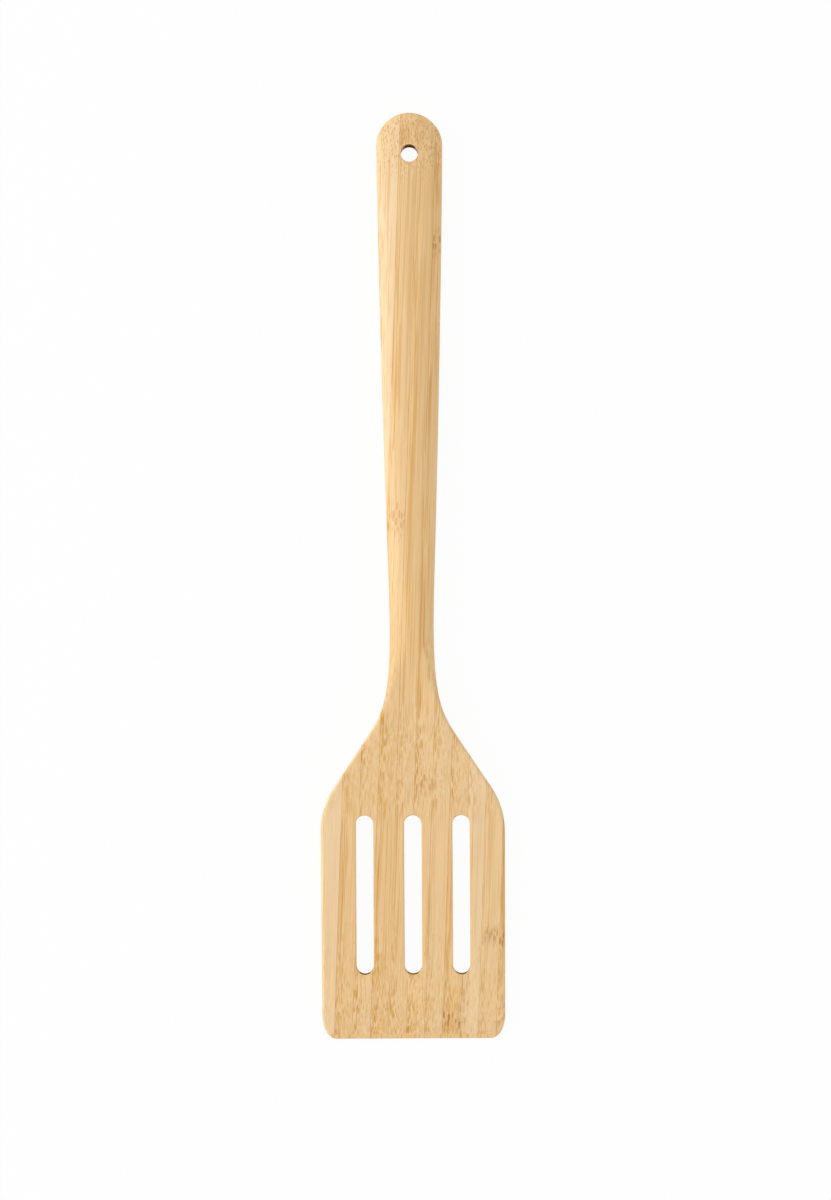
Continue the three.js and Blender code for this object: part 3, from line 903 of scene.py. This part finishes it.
def glue_material(colour):
    """A film of amber glue, here and there starved to a pale line. Where a slot lays its flat side open the
    grain behind it shows through, with warm painted shade on the rim, and where the cutter crossed it,
    scorch and painted shade make it as dark as the laths."""
    material = bpy.data.materials.new("glue_film")
    material.use_nodes = True
    nodes = NodeTree(material.node_tree)
    vector = nodes.stretched(nodes.group(BOARD_PLACE, {}), *STARVED_CELL, STARVED_SEED)
    starved = nodes.ramp(nodes.noise(vector, FINE_DETAIL), *STARVED_RISE)
    surface = nodes.group(CUT_SURFACE, {})
    grain = nodes.group(LATH_GRAIN, {"Left Edge": BEHIND_LEFT, "Seed": BEHIND_SEED})
    behind = nodes.tint(grain["Dark"], FIBRE_COVER, WOOD_THROUGH_GLUE, FIBRE_BROWN)
    # Painted shade on the rounded rims of the cuts
    behind = nodes.tint(surface["Rim Shade"], RIM_SHADE_COVER, behind, RIM_SHADE_AMBER)
    film = nodes.mix(surface["Flat"], nodes.mix(starved, colour, WOOD_THROUGH_GLUE), behind)
    nodes.fill(nodes.tree.nodes["Principled BSDF"], {
        # Scorch and painted shade on the walls of the slots and the hole
        "Base Color": nodes.tint(surface["Scorched And Shaded"], SCORCH_AND_SHADE_COVER, film, SCORCH_AND_SHADE_BROWN),
        "Roughness": nodes.ramp(starved, 0.0, 1.0, *GLUE_ROUGHNESS),
        "Specular IOR Level": 0.0,
    })
    return material


def build_spatula():
    """All laths from left to right, then the films of glue between them. The outer laths reach past both
    sides, where the outline trims them."""
    lines = np.concatenate([[-BLADE_WIDTH], JOINTS, [BLADE_WIDTH]])
    starts = np.concatenate([[JOINTS[0] - LATH_PITCH], JOINTS])
    glue = glue_material(SLOT_COLOUR["glue"])
    for i, start in enumerate(starts):
        name = f"lath_{i + 1:02d}"
        material = bamboo_material(i + 1, SLOT_COLOUR[SLOT_OF_NODE[name]], start)
        left, right = lines[i] + GLUE_GAP / 2, lines[i + 1] - GLUE_GAP / 2
        for points, triangles in strip_bodies(left, right, LATH_STEPS):
            add_piece(name + place_suffix(points), points, triangles, material)
    for i, joint in enumerate(JOINTS):
        for points, triangles in strip_bodies(joint - GLUE_GAP / 2, joint + GLUE_GAP / 2, FILM_STEPS):
            add_piece(f"glue_line_{i + 1:02d}" + place_suffix(points), points, triangles, glue)


build_spatula()

# Camera straight above, as far away as the photograph's view of the walls of the cuts shows
CAMERA_DISTANCE = 1300.0
FRAME_HEIGHT = 414.3
FRAME_CENTRE = (1.36, -8.18)
CAMERA_ROLL = -0.0053  # radians
SENSOR = 36.0
CLIP_END = 10.0  # metres


def add_camera():
    """A camera that looks straight down, whose sensor's long side spans the frame's height at the blade."""
    data = bpy.data.cameras.new("camera")
    data.sensor_width = SENSOR
    data.lens = SENSOR * CAMERA_DISTANCE / FRAME_HEIGHT
    data.clip_end = CLIP_END
    camera = bpy.data.objects.new("camera", data)
    camera.location = (FRAME_CENTRE[0] / MM, FRAME_CENTRE[1] / MM, (BLADE_THICKNESS + CAMERA_DISTANCE) / MM)
    camera.rotation_euler = (0, 0, CAMERA_ROLL)
    bpy.context.scene.collection.objects.link(camera)
    bpy.context.scene.camera = camera


add_camera()

# White studio and table, in metres and watts
WHITE = (1, 1, 1, 1)
WORLD_LEVEL = 0.79  # of the white all round, as it lights the object
# Soft boxes low on the left and, weak, low on the right: place, side and power
SOFT_BOXES = {"key": ((-1.3, 0.1, 0.5), 1.2, 11.2), "fill": ((1.3, -0.1, 0.25), 0.7, 0.3)}
FLOOR_SIZE = 6.0
FLOOR_DROP = 0.0002
FLOOR_GREY = (0.9, 0.9, 0.9, 1)
BACKDROP_SHARE = 0.95  # of plain white in the table as it is seen


def seen_share(nodes):
    """1 for rays from the camera and for those that the object mirrors or bends, which see the backdrop."""
    path = nodes.tree.nodes.new("ShaderNodeLightPath").outputs
    mirrored = nodes.maths("MAXIMUM", path["Is Glossy Ray"], path["Is Transmission Ray"])
    return nodes.maths("MAXIMUM", path["Is Camera Ray"], mirrored)


def add_world():
    """White all round: at the level that lights the object, and at 1 where it is seen."""
    world = bpy.data.worlds.new("studio")
    world.use_nodes = True
    nodes = NodeTree(world.node_tree)
    background = nodes.tree.nodes["Background"]
    strength = nodes.ramp(seen_share(nodes), 0.0, 1.0, WORLD_LEVEL, 1.0)
    nodes.fill(background, {"Color": WHITE, "Strength": strength})
    bpy.context.scene.world = world


def add_soft_box(name, place, side, power):
    """A square soft box that faces the object."""
    data = bpy.data.lights.new(name, "AREA")
    data.size = side
    data.energy = power
    light = bpy.data.objects.new(name, data)
    light.location = place
    light.rotation_euler = (-Vector(place)).to_track_quat("-Z", "Y").to_euler()
    bpy.context.scene.collection.objects.link(light)


def add_floor():
    """A white table under the flat back. Seen rays get a share of plain white, the rest keeps the shadow."""
    material = bpy.data.materials.new("white_table")
    material.use_nodes = True
    nodes = NodeTree(material.node_tree)
    shader = nodes.tree.nodes["Principled BSDF"]
    nodes.fill(shader, {"Base Color": FLOOR_GREY, "Roughness": 1.0, "Specular IOR Level": 0.0})
    white = nodes.add("Emission", {"Color": WHITE, "Strength": 1.0})
    share = nodes.maths("MULTIPLY", seen_share(nodes), BACKDROP_SHARE)
    shown = nodes.add("MixShader", {0: share, 1: shader.outputs[0], 2: white})
    nodes.tree.links.new(shown, nodes.tree.nodes["Material Output"].inputs["Surface"])
    mesh = bpy.data.meshes.new("floor")
    side = FLOOR_SIZE / 2
    corners = [(-side, -side), (side, -side), (side, side), (-side, side)]
    mesh.from_pydata([(x, y, -FLOOR_DROP) for x, y in corners], [], [range(4)])
    mesh.materials.append(material)
    floor = bpy.data.objects.new("floor", mesh)
    bpy.context.scene.collection.objects.link(floor)


bpy.context.scene.view_settings.view_transform = "Standard"
add_world()
for name, box in SOFT_BOXES.items():
    add_soft_box(name, *box)
add_floor()
